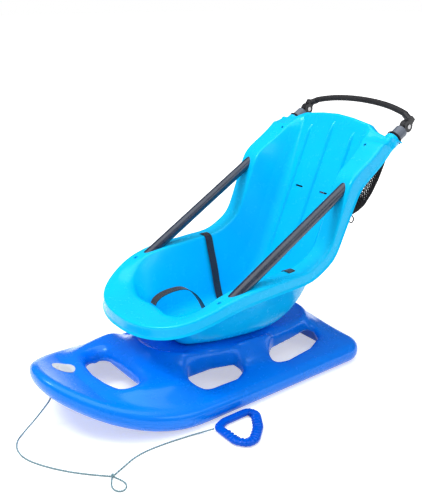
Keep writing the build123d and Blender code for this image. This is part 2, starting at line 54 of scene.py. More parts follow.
# Materials
class Mat:
    """A material's node tree with short calls to add nodes."""

    def __init__(self, name):
        self.mat = bpy.data.materials.new(name)
        self.mat.use_nodes = True
        self.tree = self.mat.node_tree
        self.bsdf = self.tree.nodes["Principled BSDF"]

    def node(self, kind, **values):
        n = self.tree.nodes.new(kind)
        for key, value in values.items():
            if key.startswith("in_"):
                n.inputs[key[3:].replace("_", " ")].default_value = value
            else:
                setattr(n, key, value)
        return n

    def link(self, a, out, b, into):
        self.tree.links.new(a.outputs[out], b.inputs[into])

    def put(self, **values):
        for key, value in values.items():
            self.bsdf.inputs[key.replace("_", " ")].default_value = value

    def ramp(self, source, out, low, high, start=0.3, end=0.7):
        n = self.node("ShaderNodeValToRGB")
        n.color_ramp.elements[0].position, n.color_ramp.elements[1].position = start, end
        n.color_ramp.elements[0].color = (*low, 1)
        n.color_ramp.elements[1].color = (*high, 1)
        self.link(source, out, n, "Fac")
        return n

    def coords(self, kind="Object", scale=(1, 1, 1)):
        c = self.node("ShaderNodeTexCoord")
        m = self.node("ShaderNodeMapping")
        m.inputs["Scale"].default_value = scale
        self.link(c, kind, m, "Vector")
        return m

    def noise(self, where, scale, detail=2.0, rough=0.5):
        n = self.node("ShaderNodeTexNoise", in_Scale=scale, in_Detail=detail, in_Roughness=rough)
        self.link(where, "Vector", n, "Vector")
        return n

    def bump(self, source, out, strength, distance, after=None):
        n = self.node("ShaderNodeBump", in_Strength=strength, in_Distance=distance)
        self.link(source, out, n, "Height")
        if after:
            self.link(after, "Normal", n, "Normal")
        self.link(n, "Normal", self.bsdf, "Normal")
        return n


def moulded(name, base, dark, rough=(0.2, 0.32), coat=0.1, spec=0.5, peel=0.03, wave=0.05):
    """Glossy moulded plastic: slow colour drift, scuffs in the gloss, fine skin and slight waves."""
    m = Mat(name)
    where = m.coords()
    drift = m.noise(where, 5.0, 3.0)
    colour = m.ramp(drift, "Fac", dark, base, 0.25, 0.6)
    m.link(colour, "Color", m.bsdf, "Base Color")
    scuff = m.noise(where, 38.0, 6.0, 0.65)
    gloss = m.ramp(scuff, "Fac", (rough[0],) * 3, (rough[1],) * 3, 0.35, 0.75)
    m.link(gloss, "Color", m.bsdf, "Roughness")
    skin = m.noise(where, 900.0, 2.0)
    first = m.bump(skin, "Fac", peel, 0.0004)
    waves = m.noise(where, 16.0, 1.0)
    m.bump(waves, "Fac", wave, 0.0015, first)
    m.put(Coat_Weight=coat, Coat_Roughness=0.12, IOR=1.45, Specular_IOR_Level=spec,
          Specular_Tint=(0.25 + base[0], 0.35 + base[1], 1.0, 1.0))
    return m.mat


hull_mat = moulded("hull_plastic", (0.0, 0.21, 0.92), (0.0, 0.175, 0.86), spec=0.9)
seat_mat = moulded("seat_plastic", (0.0, 0.53, 0.95), (0.0, 0.49, 0.92))
handle_mat = moulded("tow_handle_plastic", (0.0, 0.09, 0.62), (0.0, 0.07, 0.52), wave=0.1)


def satin(name, base, light, rough, metal=0.0, peel=0.2, scale=700.0, coat=0.0):
    """Satin surface of painted tube or dark plastic, worn a little lighter in patches."""
    m = Mat(name)
    where = m.coords()
    patches = m.noise(where, 22.0, 5.0, 0.6)
    colour = m.ramp(patches, "Fac", base, light, 0.45, 0.85)
    m.link(colour, "Color", m.bsdf, "Base Color")
    gloss = m.ramp(m.noise(where, 60.0, 4.0), "Fac", (rough - 0.06,) * 3, (rough + 0.08,) * 3)
    m.link(gloss, "Color", m.bsdf, "Roughness")
    m.bump(m.noise(where, scale, 3.0), "Fac", peel, 0.0003)
    m.put(Metallic=metal, Coat_Weight=coat, Coat_Roughness=0.2)
    return m.mat


tube_mat = satin("tube_paint", (0.014, 0.024, 0.05), (0.028, 0.045, 0.08), 0.28, coat=0.5)
black_mat = satin("black_moulding", (0.012, 0.012, 0.015), (0.024, 0.025, 0.03), 0.42)
collar_mat = satin("collar_moulding", (0.11, 0.13, 0.17), (0.15, 0.17, 0.21), 0.38)
foam_mat = satin("grip_foam", (0.010, 0.010, 0.013), (0.018, 0.018, 0.022), 0.72, peel=0.8, scale=1100.0)
steel_mat = satin("screw_steel", (0.48, 0.48, 0.49), (0.62, 0.62, 0.63), 0.3, metal=1.0, peel=0.1)
disc_mat = satin("sticker_film", (0.55, 0.57, 0.60), (0.66, 0.68, 0.71), 0.3, peel=0.05)
net_mat = satin("net_cord", (0.010, 0.010, 0.013), (0.02, 0.02, 0.025), 0.8, peel=0.9, scale=1500.0)


def webbing(name, base, light):
    """Woven webbing on UVs in metres: U along the strap, V across it."""
    m = Mat(name)
    where = m.coords("UV")
    ribs = m.node("ShaderNodeTexWave", wave_type="BANDS", bands_direction="X", in_Scale=190.0,
                  in_Distortion=0.3)
    warp = m.node("ShaderNodeTexWave", wave_type="BANDS", bands_direction="Y", in_Scale=260.0,
                  in_Distortion=0.3)
    m.link(where, "Vector", ribs, "Vector")
    m.link(where, "Vector", warp, "Vector")
    both = m.node("ShaderNodeMath", operation="MULTIPLY")
    m.link(ribs, "Fac", both, 0)
    m.link(warp, "Fac", both, 1)
    colour = m.ramp(both, "Value", base, light, 0.1, 0.8)
    m.link(colour, "Color", m.bsdf, "Base Color")
    m.bump(both, "Value", 0.7, 0.0006)
    m.put(Roughness=0.62, Sheen_Weight=0.25, Sheen_Roughness=0.4)
    return m.mat


strap_mat = webbing("strap_webbing", (0.006, 0.008, 0.02), (0.03, 0.034, 0.06))


def rope_material():
    """Laid rope: slanting bands of two greens."""
    m = Mat("rope_lay")
    where = m.coords("Object")
    lay = m.node("ShaderNodeTexWave", wave_type="BANDS", bands_direction="DIAGONAL", in_Scale=110.0,
                 in_Distortion=0.6, in_Detail=1.0)
    m.link(where, "Vector", lay, "Vector")
    colour = m.ramp(lay, "Fac", (0.07, 0.15, 0.19), (0.26, 0.42, 0.46), 0.15, 0.85)
    m.link(colour, "Color", m.bsdf, "Base Color")
    m.bump(lay, "Fac", 0.8, 0.0008)
    m.put(Roughness=0.6, Sheen_Weight=0.2)
    return m.mat


rope_mat = rope_material()


def wear(ob, material):
    """Gives the object this one material."""
    ob.data.materials.clear()
    ob.data.materials.append(material)


node_mats = [
    (("hull",), hull_mat),
    (("seat_shell",), seat_mat),
    (("tow_handle",), handle_mat),
    (("push_tube_left", "push_tube_right", "push_bar"), tube_mat),
    (("tube_ring_left", "tube_ring_right", "hub_fixed_left", "hub_fixed_right", "hub_fork_left",
      "hub_fork_right", "harness_buckle"), black_mat),
    (("tube_collar_left", "tube_collar_right"), collar_mat),
    (("bar_grip",), foam_mat),
    (("hub_pin_left", "hub_pin_right", "seat_screw_1", "seat_screw_2", "seat_screw_3", "seat_screw_4"),
     steel_mat),
    (("crotch_strap", "waist_strap_left", "waist_strap_right"), strap_mat),
    (("net_bag", "bag_loop_left", "bag_loop_right"), net_mat),
    (("tow_rope_front", "tow_rope_loop", "tow_rope_rear", "tow_knot"), rope_mat),
]
for names, material in node_mats:
    for name in names:
        wear(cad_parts[name], material)


# Mesh helpers
def shade(ob, angle=None):
    """Smooth shading, with edges sharper than angle kept crisp."""
    ob.data.polygons.foreach_set("use_smooth", [True] * len(ob.data.polygons))
    if angle:
        bm = bmesh.new()
        bm.from_mesh(ob.data)
        for e in bm.edges:
            e.smooth = not (len(e.link_faces) == 2 and e.calc_face_angle(0) > math.radians(angle))
        bm.to_mesh(ob.data)
        bm.free()


def new_mesh(name, verts, faces, material):
    """A smooth mesh object. Its points are in metres."""
    mesh = bpy.data.meshes.new(name)
    mesh.from_pydata([tuple(v) for v in verts], [], faces)
    mesh.validate()
    ob = bpy.data.objects.new(name, mesh)
    scene.collection.objects.link(ob)
    shade(ob)
    wear(ob, material)
    return ob


def strip(rows, cols, closed=False):
    """Quads between rows of points. closed joins the last point of each row to its first."""
    return [(i * cols + c, i * cols + (c + 1) % cols, (i + 1) * cols + (c + 1) % cols, (i + 1) * cols + c)
            for i in range(rows - 1) for c in range(cols if closed else cols - 1)]


def apply_all(ob):
    """Puts the object's modifiers into its mesh."""
    deps = bpy.context.evaluated_depsgraph_get()
    mesh = bpy.data.meshes.new_from_object(ob.evaluated_get(deps))
    ob.modifiers.clear()
    old, ob.data = ob.data, mesh
    mesh.name = old.name


def face_outwards(ob):
    """Turns the faces of a closed mesh outwards."""
    bm = bmesh.new()
    bm.from_mesh(ob.data)
    bmesh.ops.recalc_face_normals(bm, faces=bm.faces)
    bm.to_mesh(ob.data)
    bm.free()


def cut(ob, tool, solver):
    """Takes the tool's form out of the object and deletes the tool."""
    m = ob.modifiers.new("cut", "BOOLEAN")
    m.operation, m.object, m.solver = "DIFFERENCE", tool, solver
    apply_all(ob)
    bpy.data.objects.remove(tool)


# Tow rope. ROPE_Z is the level of its middle where it lies on the floor, in mm
ROPE_D = 0.004
ROPE_Z = 2.2
front = [(0, -528, 111.8), (0, -528, 77), (-1, -552, 52), (-3, -582, 24), (-2, -612, ROPE_Z),
         (20, -638, ROPE_Z), (58, -653, ROPE_Z), (102, -649, ROPE_Z), (150, -625, ROPE_Z),
         (197, -593, ROPE_Z), (240, -555, ROPE_Z), (274.5, -519, ROPE_Z)]
loop = [(281, -520, ROPE_Z), (302, -536, ROPE_Z), (326, -536, ROPE_Z), (336, -520, ROPE_Z),
        (322, -504, ROPE_Z), (300, -506, ROPE_Z), (282.8, -513.8, ROPE_Z)]
rear = [(275.3, -511.8, ROPE_Z), (262, -478, ROPE_Z), (247, -440, ROPE_Z), (243, -398, ROPE_Z),
        (246, -354, ROPE_Z), (252, -310, ROPE_Z), (259, -267, ROPE_Z), (276, -227.5, 9.0)]


def rope_curve(name, points):
    """One run of rope through points in mm."""
    curve = bpy.data.curves.new(name, "CURVE")
    curve.dimensions = "3D"
    curve.bevel_depth = ROPE_D / 2
    curve.bevel_resolution = 3
    curve.use_fill_caps = True
    spline = curve.splines.new("NURBS")
    spline.points.add(len(points) - 1)
    for p, (x, y, z) in zip(spline.points, points):
        p.co = (x * MM, y * MM, z * MM, 1)
    spline.order_u = 3
    spline.use_endpoint_u = True
    spline.resolution_u = 10
    ob = bpy.data.objects.new(name, curve)
    scene.collection.objects.link(ob)
    ob.data.materials.append(rope_mat)
    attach(ob, "sled")
    return ob


rope_a = rope_curve("rope_from_nose", front)
rope_b = rope_curve("rope_knot_loop", loop)
rope_c = rope_curve("rope_to_handle", rear)
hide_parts("tow_rope_front")
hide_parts("tow_rope_loop")
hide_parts("tow_rope_rear")


# Seat shell, swept from half sections: up the back, along the sides and round the front lip.
# Lengths are in mm. RECESS is the depth of the hump's recess, WALL the seat's wall
HUMP_FRONT, HUMP_REAR = 148.0, 112.0
RECESS, SEAT_GAP, WALL = 8.0, 0.35, 4.0


def hump_top(y):
    """Level of the hull's hump, which falls towards the rear."""
    return HUMP_FRONT + (HUMP_REAR - HUMP_FRONT) * (y + 300.0) / 640.0


def pan(y):
    """Upper level of the seat's floor, which stands in the hump's recess."""
    return hump_top(y) - RECESS + SEAT_GAP + WALL


# y, z, lean, floor half width, rim height, inside, outside, skirt
stations = [
    (443, 697, 67, 122, 4, 146, 222, 30), (418, 637, 67, 122, 22, 150, 226, 44),
    (396, 586, 62, 120, 50, 160, 228, 46), (374, 534, 52, 118, 82, 164, 228, 48),
    (352, 482, 46, 116, 112, 166, 228, 48), (323, 413, 41, 114, 112, 166, 228, 44),
    (294, 345, 34, 112, 116, 168, 228, 40), (265, 275, 30, 110, 118, 170, 229, 36),
    (236, 208, 23, 106, 158, 174, 230, 34), (194, 152, 20, 104, 190, 176, 231, 34),
    (130, pan(130), 12, 108, 211, 178, 231, 34), (40, pan(40), 0, 120, 326 - pan(40), 178, 231, 34),
    (-86, pan(-86), 0, 110, 321 - pan(-86), 178, 231, 34),
    (-146, pan(-146), 0, 88, 309 - pan(-146), 178, 226, 34),
]
FAN_Y = -146.0
# turn round the front, rim level, well edge radius, its level, inner rim radius, outer radius, floor radius
fan = [
    (0, 309, 178, 309, 202, 226, 88), (10, 295, 172, 292, 200, 222, 84), (20, 281, 160, 272, 197, 218, 76),
    (32, 266, 134, 255, 188, 214, 60), (45, 256, 108, 250, 176, 207, 40), (60, 250, 84, 249, 164, 197, 32),
    (75, 248, 70, 249, 154, 188, 26), (90, 247, 66, 249, 150, 185, 24),
]


def rounded(points, radii, runs, bends):
    """Points along a polyline with rounded corners, the same count for every section."""
    points = [np.array(p, float) for p in points]
    ins, outs = [points[0]], []
    for i in range(1, len(points) - 1):
        a, b, c = points[i - 1], points[i], points[i + 1]
        la, lc = np.linalg.norm(a - b), np.linalg.norm(c - b)
        ua, uc = (a - b) / max(la, 1e-6), (c - b) / max(lc, 1e-6)
        turn = math.pi - math.acos(max(-1, min(1, float(ua @ uc))))
        reach = min(radii[i - 1] * math.tan(turn / 2), 0.46 * la, 0.46 * lc)
        outs.append(b + ua * reach)
        ins.append(b + uc * reach)
    outs.append(points[-1])
    result = []
    for i, (start, end) in enumerate(zip(ins, outs)):
        for t in np.linspace(0, 1, runs[i], endpoint=False):
            result.append(start + (end - start) * t)
        if i < len(points) - 2:
            corner, after = points[i + 1], ins[i + 1]
            for t in np.linspace(0, 1, bends[i], endpoint=False):
                result.append((1 - t) ** 2 * end + 2 * t * (1 - t) * corner + t * t * after)
    result.append(points[-1])
    return np.array(result)


def resample(rows, counts):
    """Rows of numbers filled in linearly, counts[i] steps from row i to the next."""
    rows = [np.array(r, float) for r in rows]
    out = []
    for a, b, n in zip(rows, rows[1:], counts):
        out += [a + (b - a) * t for t in np.linspace(0, 1, n, endpoint=False)]
    return np.array(out + [rows[-1]])


def eased(a):
    """Smooths rows along the sweep. The last row, in the middle plane, follows the one before it."""
    a = a.copy()
    for _ in range(EASE_PASSES):
        last = a[-1] * 0.5 + a[-2] * 0.5
        a[1:-1] = (a[:-2] + 2 * a[1:-1] + a[2:]) / 4
        a[-1] = last
    return a


BELLY_Z, BELLY_OUT = 214.0, 26.0
FAN_SKIRT = 34
EASE_PASSES = 14
# Rows from each station to the next, then from each fan section to the next
SWEEP_ROWS = [6, 6, 6, 6, 7, 7, 7, 7, 7, 7, 9, 12, 6, 5, 5, 6, 6, 6, 6, 6]


def seat_sections():
    """Right-hand sections from the top of the back on, each with its up direction and its lean."""
    sides = []
    for y, z, lean, floor, rim, inside, outside, skirt in stations:
        mid = (inside + outside) / 2
        if y > -150 and lean < 15:
            belly = (floor + BELLY_OUT, (BELLY_Z - z) / math.cos(math.radians(lean)))
        else:
            belly = (floor + 0.45 * (inside - floor), 0.4 * rim)
        sides.append((0, y, z, lean, floor, *belly, inside, rim, mid, rim, outside, rim, skirt))
    for turn, z_rim, r_well, z_well, r_in, r_out, r_floor in fan[1:]:
        z0 = pan(FAN_Y)
        share = max(0.0, 1 - turn / 45)
        belly = (r_floor + (BELLY_OUT + 4) * share + 0.42 * (r_well - r_floor) * (1 - share),
                 (BELLY_Z - z0) * share + 0.42 * (z_well - z0) * (1 - share))
        sides.append((turn, FAN_Y, z0, 0, r_floor, *belly, r_well, z_well - z0, r_in, z_rim - z0, r_out,
                      z_rim - z0, FAN_SKIRT))
    result = []
    for turn, y, z, lean, floor, bx, bh, wx, wh, ix, ih, ox, oh, skirt in eased(resample(sides, SWEEP_ROWS)):
        a, l = math.radians(turn), math.radians(lean)
        out = np.array((math.cos(a), -math.sin(a), 0))
        up = np.array((0, -math.sin(l), math.cos(l)))
        soft = min(1.0, turn / 35.0)
        lip = min(3.0, 0.1 * skirt)
        corners = [(0, 0), (floor, 0), (bx, bh), (wx, wh), (ix, ih), (ox, oh), (ox, oh - skirt + 2 * lip),
                   (ox + lip, oh - skirt)]
        profile = rounded(corners, (60, 70, 9 + 75 * soft, 60, 8, 5), (60, 6, 9, 4, 6, 6, 3),
                          (9, 5, 7, 4, 7, 3))
        line = [np.array((0, y, z)) + out * px + up * ph for px, ph in profile]
        result.append((line, up, lean))
    return result


# Top edge: an arch that drops to the shoulders, then rolls over to the back.
# TOP_ROWS rows are drawn in below the arch, and ROLL_ARC of the ROLL_ROWS rows lie on the roll
TOP_ROWS, ROLL_ROWS, ROLL_ARC = 7, 8, 6
ROLL_R, ROLL_SKIRT = 9.0, 16.0


def arch(x):
    """How far the top edge stands above the last station, along the back."""
    keys = [(0, -6), (60, -10), (128, -20), (160, -38), (200, -46), (240, -46)]
    return float(np.interp(abs(x), [k[0] for k in keys], [k[1] for k in keys]))


def roll_top(lines, up, lean):
    """Draws the top rows in below the arch, and returns the rows that roll over to the back."""
    along = np.array((0, math.cos(math.radians(lean)), math.sin(math.radians(lean))))
    shift = [arch(p[0]) - ROLL_R for p in lines[0]]
    for r in range(TOP_ROWS):
        k = 1 - r / TOP_ROWS
        for i, p in enumerate(lines[r]):
            lines[r][i] = p + along * shift[i] * k
    result = []
    for n in range(ROLL_ROWS, 0, -1):
        angle = min(n, ROLL_ARC) / ROLL_ARC * math.pi / 2
        down = (n - ROLL_ARC) / 2 * ROLL_SKIRT if n > ROLL_ARC else 0.0
        back = ROLL_R * (1 - math.cos(angle)) + down
        result.append([p + along * (ROLL_R * math.sin(angle)) - up * back for p in lines[0]])
    return result


def both_sides(lines):
    """Mesh of the sections and their mirror images, which share the points in the middle plane."""
    n_rows, n_cols = len(lines), len(lines[0])
    verts = [p * MM for line in lines for p in line]
    left, right = {}, {}
    for r, line in enumerate(lines):
        for c, p in enumerate(line):
            left[r, c] = r * n_cols + c
            if c == 0 or r == n_rows - 1:
                right[r, c] = left[r, c]
            else:
                right[r, c] = len(verts)
                verts.append(np.array((-p[0], p[1], p[2])) * MM)
    faces = []
    for r in range(n_rows - 1):
        for c in range(n_cols - 1):
            faces.append((left[r, c], left[r, c + 1], left[r + 1, c + 1], left[r + 1, c]))
            faces.append((right[r, c], right[r + 1, c], right[r + 1, c + 1], right[r, c + 1]))
    # The middle of the front lies in the mirror plane
    for c in range(n_cols):
        v = verts[left[n_rows - 1, c]]
        verts[left[n_rows - 1, c]] = np.array((0.0, v[1], v[2]))
    return verts, faces


def seat_moulding(lines):
    """The seat's skin, welded, faced upwards and given its wall."""
    ob = new_mesh("seat_bucket", *both_sides(lines), seat_mat)
    bm = bmesh.new()
    bm.from_mesh(ob.data)
    bmesh.ops.remove_doubles(bm, verts=bm.verts, dist=0.00005)
    bmesh.ops.recalc_face_normals(bm, faces=bm.faces)
    if sum(f.normal.z * f.calc_area() for f in bm.faces) < 0:
        bmesh.ops.reverse_faces(bm, faces=bm.faces)
    bm.to_mesh(ob.data)
    bm.free()
    thick = ob.modifiers.new("thick", "SOLIDIFY")
    thick.thickness, thick.offset = WALL * MM, -1.0
    apply_all(ob)
    return ob


def opening_tool(bm, place, tilt):
    """Cutter object from a form at the origin, tilted in the side view and moved to its place."""
    bmesh.ops.transform(bm, verts=bm.verts, matrix=Matrix.Translation(Vector(place) * MM)
                        @ Matrix.Rotation(math.radians(tilt), 4, "X"))
    tool = new_mesh("opening", [v.co.copy() for v in bm.verts],
                    [[v.index for v in f.verts] for f in bm.faces], seat_mat)
    bm.free()
    return tool


def drill(place, radius, depth, tilt):
    """Round cutter."""
    bm = bmesh.new()
    bmesh.ops.create_cone(bm, cap_ends=True, segments=28, radius1=radius * MM, radius2=radius * MM,
                          depth=depth * MM)
    return opening_tool(bm, place, tilt)


def slit(place, size, tilt):
    """Box cutter."""
    bm = bmesh.new()
    bmesh.ops.create_cube(bm, size=1.0)
    bmesh.ops.scale(bm, verts=bm.verts, vec=Vector(size) * MM)
    return opening_tool(bm, place, tilt)


def back_y(z):
    """Where the back panel stands at level z."""
    return 383.0 + (z - 555.0) / math.tan(math.radians(67.0))


RIB_H = 6.5
RIB_SECTION = [(-7.5, -1.0), (-4.6, 0.3), (-1.6, 0.96), (0.0, 1.0), (1.6, 0.96), (4.6, 0.3), (7.5, -1.0)]
# Points of a section from its middle to the end of its first bend
PANEL_POINTS = 70
TUBE_X, TUBE_Y, TUBE_Z, TUBE_SLOPE = 200.0, -80, 322, 30.6


def rib(at):
    """Ridge up the back panel at one X, from the bend to just below the top edge."""
    path = []
    for (line, up, lean), shown in zip(sections, lines):
        panel = shown[:PANEL_POINTS]
        xs = [p[0] for p in panel]
        y = float(np.interp(abs(at), xs, [p[1] for p in panel]))
        z = float(np.interp(abs(at), xs, [p[2] for p in panel]))
        if lean > 20 and 262 < z < 668 - abs(at) * 0.16:
            path.append((np.array((at, y, z)), up))
    verts = []
    for i, (p, up) in enumerate(path):
        ends = min(1.0, i / 3, (len(path) - 1 - i) / 4)
        for x, h in RIB_SECTION:
            verts.append((p + np.array((x, 0, 0)) + up * (RIB_H * h * ends if h > 0 else h)) * MM)
    return verts, strip(len(path), len(RIB_SECTION))


def boss(side):
    """Half-round boss in the shoulder round the end of the push tube."""
    slope = math.radians(TUBE_SLOPE)
    along = np.array((0, math.cos(slope), math.sin(slope)))
    over = np.array((0, -math.sin(slope), math.cos(slope)))
    runs = [(470, 8), (486, 15), (505, 20), (530, 22.6), (622, 22.6), (627, 21.6), (628, 19.6), (628, 15.4)]
    verts, n = [], 28
    for at, radius in runs:
        middle = np.array((side * TUBE_X, TUBE_Y, TUBE_Z)) + along * at
        for k in range(n):
            t = 2 * math.pi * k / n
            verts.append((middle + radius * (np.array((1, 0, 0)) * math.cos(t) + over * math.sin(t))) * MM)
    return verts, strip(len(runs), n, True)


def add_forms(ob, forms):
    """Joins open forms to the object's mesh."""
    bm = bmesh.new()
    bm.from_mesh(ob.data)
    for verts, faces in forms:
        made = [bm.verts.new(v) for v in verts]
        new_faces = [bm.faces.new([made[i] for i in f]) for f in faces]
        bmesh.ops.recalc_face_normals(bm, faces=new_faces)
        if sum(f.normal.z * f.calc_area() for f in new_faces) < 0 and len(new_faces) > 300:
            bmesh.ops.reverse_faces(bm, faces=new_faces)
    bm.to_mesh(ob.data)
    bm.free()


sections = seat_sections()
lines = [[p.copy() for p in line] for line, up, lean in sections]
rolled = roll_top(lines, sections[0][1], sections[0][2])
seat = seat_moulding(rolled + lines)
extras = [rib(at) for at in (-86.0, 0.0, 86.0)] + [boss(side) for side in (-1, 1)]
for side in (-1, 1):
    cut(seat, drill((side * TUBE_X, -154, 304), 5.0, 30, -20.5), "FAST")
    cut(seat, drill((side * 170, 380, 629.4), 4.0, 60, 38.3), "FAST")
    cut(seat, slit((side * 51, back_y(471), 471), (30, 40, 5.0), -23), "FAST")
add_forms(seat, extras)
shade(seat, 50)
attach(seat, "sled")
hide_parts("seat_shell")


# Hull: one blow-moulded skin, given by its upper and lower levels over the plan, in mm
NOSE_Y, REAR_Y, HALF_WIDE = -570, 362, 249
NOSE_R, FLANK_R, REAR_R = 160, 360, 60
# Radius of the rolled edge, level of its middle and of the deck above the bowed base line
EDGE_R, EDGE_MID, DECK = 26, 31, 57
BOW_FROM, BOW_R = -205, 650
REAR_POINTS = 20


def arc(cx, cy, r, a0, a1, n):
    """Points on an arc from angle a0 to a1 in degrees."""
    t = np.radians(np.linspace(a0, a1, n))
    return np.stack((cx + r * np.cos(t), cy + r * np.sin(t)), 1)


def plan_outline():
    """Right half of the plan outline, nose to rear middle."""
    nose_c = NOSE_Y + NOSE_R
    fx = HALF_WIDE - FLANK_R
    fy = nose_c + math.sqrt((FLANK_R - NOSE_R) ** 2 - fx ** 2)
    turn = math.degrees(math.atan2(nose_c - fy, -fx))
    corner_x, corner_y = HALF_WIDE - REAR_R, REAR_Y - REAR_R
    parts = [arc(0, nose_c, NOSE_R, -90, turn, 60), arc(fx, fy, FLANK_R, turn, 0, 60),
             np.array([(HALF_WIDE, y) for y in np.linspace(fy, corner_y, 60)]),
             arc(corner_x, corner_y, REAR_R, 0, 90, 40),
             np.array([(x, REAR_Y) for x in np.linspace(corner_x, 0, REAR_POINTS)])]
    return np.concatenate(parts)


def oval(y0, y1, half, end_r):
    """Closed oval from y0 to y1, with ends of radius end_r and bowed sides."""
    mid, reach = (y0 + y1) / 2, (y1 - y0) / 2 - end_r
    side_r = (half ** 2 + reach ** 2 - end_r ** 2) / (2 * (half - end_r))
    turn = math.degrees(math.atan2(reach, side_r - half))
    return np.concatenate([arc(half - side_r, mid, side_r, -turn, turn, 60),
                           arc(0, mid + reach, end_r, turn, 180 - turn, 40),
                           arc(side_r - half, mid, side_r, 180 - turn, 180 + turn, 60),
                           arc(0, mid - reach, end_r, 180 + turn, 360 - turn, 40)])


def soft_polygon(corners, radius):
    """Closed outline with rounded corners."""
    pts, n = [np.array(c, float) for c in corners], len(corners)
    out = []
    for i in range(n):
        a, b, c = pts[i - 1], pts[i], pts[(i + 1) % n]
        la, lc = np.linalg.norm(a - b), np.linalg.norm(c - b)
        ua, uc = (a - b) / la, (c - b) / lc
        turn = math.pi - math.acos(max(-1, min(1, float(ua @ uc))))
        reach = min(radius * math.tan(turn / 2), 0.48 * la, 0.48 * lc)
        p, q = b + ua * reach, b + uc * reach
        for t in np.linspace(0, 1, 9):
            out.append((1 - t) ** 2 * p + 2 * t * (1 - t) * b + t * t * q)
    return np.array(out)


def signed(points, outline):
    """Distance to a closed outline, negative inside."""
    best = np.full(len(points), 1e9)
    inside = np.zeros(len(points), bool)
    for (ax, ay), (bx, by) in zip(outline, np.roll(outline, -1, 0)):
        dx, dy = bx - ax, by - ay
        length = dx * dx + dy * dy
        if length < 1e-9:
            continue
        t = np.clip(((points[:, 0] - ax) * dx + (points[:, 1] - ay) * dy) / length, 0, 1)
        best = np.minimum(best, np.hypot(points[:, 0] - ax - t * dx, points[:, 1] - ay - t * dy))
        cross = ((ay > points[:, 1]) != (by > points[:, 1]))
        if dy != 0:
            inside ^= cross & (points[:, 0] < dx * (points[:, 1] - ay) / dy + ax)
    return np.where(inside, -best, best)


def step(t):
    """Smooth step from 0 to 1."""
    t = np.clip(t, 0, 1)
    return t * t * (3 - 2 * t)


half_outline = plan_outline()
outline = np.concatenate([half_outline, (half_outline * (-1, 1))[::-1][1:-1]])
MID_HOLE = [(140, -206), (112, -194), (114, -112), (136, -42), (160, -36), (178, -80), (172, -186),
            (160, -206)]
REAR_HOLE = [(146, 64), (122, 100), (110, 190), (98, 252), (112, 274), (144, 264), (170, 200), (184, 100),
             (176, 64)]
FRONT_HOLE = [(-100, -380), (-62, -402), (0, -409), (62, -402), (100, -380), (96, -324), (-96, -324)]
side_holes = [soft_polygon(h, 20) for h in (MID_HOLE, REAR_HOLE)]
side_holes += [(h * (-1, 1))[::-1] for h in side_holes]
front_hole = soft_polygon(FRONT_HOLE, 30)
hump_oval = oval(-268, 302, 138, 114)


def bow(y):
    """Level of the base line, which rises towards the nose."""
    y = np.minimum(y, BOW_FROM)
    return BOW_R - np.sqrt(BOW_R ** 2 - (BOW_FROM - y) ** 2)


def hull_levels(xy):
    """Upper and lower level of the hull at plan points."""
    x, y = xy[:, 0], xy[:, 1]
    d = np.maximum(-signed(xy, outline), 0)
    base = bow(y)
    roll = np.sqrt(np.maximum(EDGE_R ** 2 - (EDGE_R - np.minimum(d, EDGE_R)) ** 2, 0))
    ring = base + EDGE_MID + roll
    crown = np.where(y < -448, bow(y) + DECK, 107.0)
    crown = np.where(y > -280, DECK + 50 * (1 - step((y + 280) / 130)), crown)
    crown = np.maximum(crown, base + DECK)
    top = ring + (crown - base - DECK) * step((d - 12) / 76)
    # The deck swells a little between the rolled edge and the hump
    top = top + 3.0 * step((d - 24) / 40) * step((y + 200) / 80)
    # The hump flares out of the deck, with the seat's recess in it
    s = signed(xy, hump_oval)
    reach = 15 + 12 * step((-150 - y) / 90) + 16 * step((y - 180) / 130)
    over = 0.5 * (s + np.sqrt(s * s + 36)) - 1.0
    hump = top + (hump_top(y) - top) * np.exp(-np.maximum(over, 0) / reach)
    top = np.maximum(top, hump)
    skin = top - RECESS * step((-s - 6) / 5)
    # Rolled lips and shallow dishes round the openings: radius, depth and spread of each dish
    side = np.min([signed(xy, h) for h in side_holes], 0)
    front = signed(xy, front_hole)
    lip = np.zeros(len(x))
    wide = 20 + 16 * step((np.abs(x) - 60) / 50)
    for o, r, dish, spread in ((side, 15, 6, 20), (front, wide, 3, 18)):
        o = np.maximum(o, 0)
        turned = np.sqrt(np.maximum(r * r - (r - np.minimum(o, r)) ** 2, 0))
        lip = lip + r - turned + dish * np.exp(-o / spread)
    upper = skin - lip
    # The underside follows the skin, with thicker walls round the openings
    under = base + EDGE_R - roll
    hollow = skin - 9 - 12 * np.exp(-(s / 30) ** 2)
    inner = step((d - 47) / 5)
    lower = under + (hollow - under) * inner
    wall_foot = 40 + 22 * step((156 - np.abs(x)) / 30)
    wall = np.where(side < 9, np.minimum(upper - 13, wall_foot), 1e3)
    lower = np.minimum(lower, np.where(d > 40, wall, 1e3))
    wall = np.where(front < 9, np.minimum(upper - 11, crown - 38), 1e3)
    lower = np.minimum(lower, wall)
    lower = np.minimum(lower, upper - 3.0 * step(d / 6) - 7.0 * step((d - 30) / 20))
    return upper, np.minimum(lower, upper)


